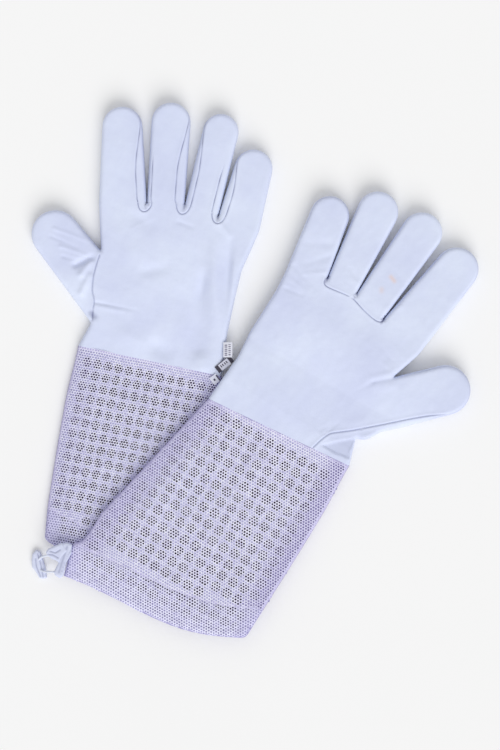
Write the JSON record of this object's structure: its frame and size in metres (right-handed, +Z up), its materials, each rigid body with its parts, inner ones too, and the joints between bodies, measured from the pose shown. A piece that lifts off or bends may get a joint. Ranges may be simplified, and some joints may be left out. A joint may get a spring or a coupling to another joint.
{
  "type": "beekeeping gloves",
  "caption": "Pair of long leather beekeeping gloves with ventilated mesh gauntlets, elastic hems and a leather cord pull, lying flat with one glove over the other.",
  "frame": {"origin": "centre of the pair's footprint on the surface that it lies on, the cord loop and its pull left out", "axes": "+Z up; +Y towards the fingertips, along the pair's longest extent; +X to the right seen from above"},
  "size_m": [0.443, 0.5322, 0.0227],
  "materials": {
    "leather": "soft smooth grain",
    "trim_leather": "soft smooth grain",
    "outer_net": "knitted net, matt",
    "spacer_mesh": "open knitted mesh, matt",
    "inner_net": "fine knitted net, matt",
    "hem_net": "doubled knitted net, matt",
    "seam_tape": "woven tape, matt",
    "elastic_cord": "braided cover over elastic",
    "label_white": "satin ribbon",
    "label_dark": "woven ribbon"
  },
  "bodies": {
    "lower_hand": {"lower_back_panel": "leather", "lower_palm_panel": "leather", "lower_wrist_seam_tape": "seam_tape"},
    "lower_thumb": {"lower_thumb_back": "leather", "lower_thumb_front": "leather"},
    "lower_index": {"lower_index_back": "leather", "lower_index_front": "leather", "lower_index_fourchette": "leather"},
    "lower_middle": {"lower_middle_back": "leather", "lower_middle_front": "leather", "lower_middle_fourchette": "leather"},
    "lower_ring": {"lower_ring_back": "leather", "lower_ring_front": "leather", "lower_ring_fourchette": "leather"},
    "lower_little": {"lower_little_back": "leather", "lower_little_front": "leather", "lower_little_fourchette": "leather"},
    "lower_cuff": {"lower_cuff_outer_net": "outer_net", "lower_cuff_spacer": "spacer_mesh", "lower_cuff_inner_net": "inner_net", "lower_hem_outer": "hem_net", "lower_hem_drawcord": "elastic_cord", "lower_hem_lining": "hem_net", "lower_hem_tab": "trim_leather"},
    "upper_hand": {"upper_back_panel": "leather", "upper_palm_panel": "leather", "upper_wrist_seam_tape": "seam_tape"},
    "upper_thumb": {"upper_thumb_back": "leather", "upper_thumb_front": "leather"},
    "upper_index": {"upper_index_back": "leather", "upper_index_front": "leather", "upper_index_fourchette": "leather"},
    "upper_middle": {"upper_middle_back": "leather", "upper_middle_front": "leather", "upper_middle_fourchette": "leather"},
    "upper_ring": {"upper_ring_back": "leather", "upper_ring_front": "leather", "upper_ring_fourchette": "leather"},
    "upper_little": {"upper_little_back": "leather", "upper_little_front": "leather", "upper_little_fourchette": "leather"},
    "upper_cuff": {"upper_cuff_outer_net": "outer_net", "upper_cuff_spacer": "spacer_mesh", "upper_cuff_inner_net": "inner_net", "upper_hem_outer": "hem_net", "upper_hem_drawcord": "elastic_cord", "upper_hem_lining": "hem_net", "upper_hem_tab": "trim_leather", "tab_flap": "trim_leather"},
    "pull_loop": {"pull_cord": "elastic_cord", "cord_pull": "trim_leather"},
    "labels": {"care_label": "label_white", "woven_label": "label_dark", "size_label": "label_white"}
  },
  "joints": [
    {"name": "lower_thumb_curl", "type": "hinge", "parent": "lower_hand", "child": "lower_thumb", "pos_m": [-0.15708, 0.08253, 0], "axis": [-0.1396, -0.9902, 0], "range_deg": [0, 50]},
    {"name": "lower_index_curl", "type": "hinge", "parent": "lower_hand", "child": "lower_index", "pos_m": [-0.13029, 0.16527, 0], "axis": [-0.9998, 0.0202, 0], "range_deg": [0, 50]},
    {"name": "lower_middle_curl", "type": "hinge", "parent": "lower_hand", "child": "lower_middle", "pos_m": [-0.08765, 0.16387, 0], "axis": [-0.9988, 0.0487, 0], "range_deg": [0, 50]},
    {"name": "lower_ring_curl", "type": "hinge", "parent": "lower_hand", "child": "lower_ring", "pos_m": [-0.05212, 0.15786, 0], "axis": [-0.9568, 0.2907, 0], "range_deg": [0, 50]},
    {"name": "lower_little_curl", "type": "hinge", "parent": "lower_hand", "child": "lower_little", "pos_m": [-0.01481, 0.14584, 0], "axis": [-0.9476, 0.3195, 0], "range_deg": [0, 50]},
    {"name": "lower_wrist_fold", "type": "hinge", "parent": "lower_hand", "child": "lower_cuff", "pos_m": [-0.10373, 0.00883, 0], "axis": [0.9781, -0.2079, 0], "range_deg": [0, 75]},
    {"name": "upper_glove_lift", "type": "slide", "parent": "lower_hand", "child": "upper_hand", "axis": [0, 0, 1], "range_m": [0, 0.25]},
    {"name": "upper_thumb_curl", "type": "hinge", "parent": "upper_hand", "child": "upper_thumb", "pos_m": [0.11818, -0.04079, 0.02127], "axis": [-0.5219, -0.8527, 0.0204], "range_deg": [0, 50]},
    {"name": "upper_index_curl", "type": "hinge", "parent": "upper_hand", "child": "upper_index", "pos_m": [0.14606, 0.03201, 0.0197], "axis": [0.7206, -0.6933, 0.0049], "range_deg": [0, 50]},
    {"name": "upper_middle_curl", "type": "hinge", "parent": "upper_hand", "child": "upper_middle", "pos_m": [0.11481, 0.06188, 0.01949], "axis": [0.7258, -0.6879, 0.0048], "range_deg": [0, 50]},
    {"name": "upper_ring_curl", "type": "hinge", "parent": "upper_hand", "child": "upper_ring", "pos_m": [0.08718, 0.08211, 0.01942], "axis": [0.8824, -0.4705, -0.0007], "range_deg": [0, 50]},
    {"name": "upper_little_curl", "type": "hinge", "parent": "upper_hand", "child": "upper_little", "pos_m": [0.0536, 0.09716, 0.01949], "axis": [0.9333, -0.3591, -0.0032], "range_deg": [0, 50]},
    {"name": "upper_wrist_fold", "type": "hinge", "parent": "upper_hand", "child": "upper_cuff", "pos_m": [0.02507, -0.06207, 0.0226], "axis": [-0.902, 0.4317, 0], "range_deg": [0, 75]},
    {"name": "pull_loop_swing", "type": "hinge", "parent": "upper_cuff", "child": "pull_loop", "pos_m": [-0.19733, -0.19157, 0.01625], "axis": [0.0671, 0.9943, 0.0833], "range_deg": [0, 80]},
    {"name": "label_flap", "type": "hinge", "parent": "lower_hand", "child": "labels", "pos_m": [-0.04108, 0.00778, 0.0113], "axis": [-0.2079, -0.9781, 0], "range_deg": [0, 8]}
  ]
}
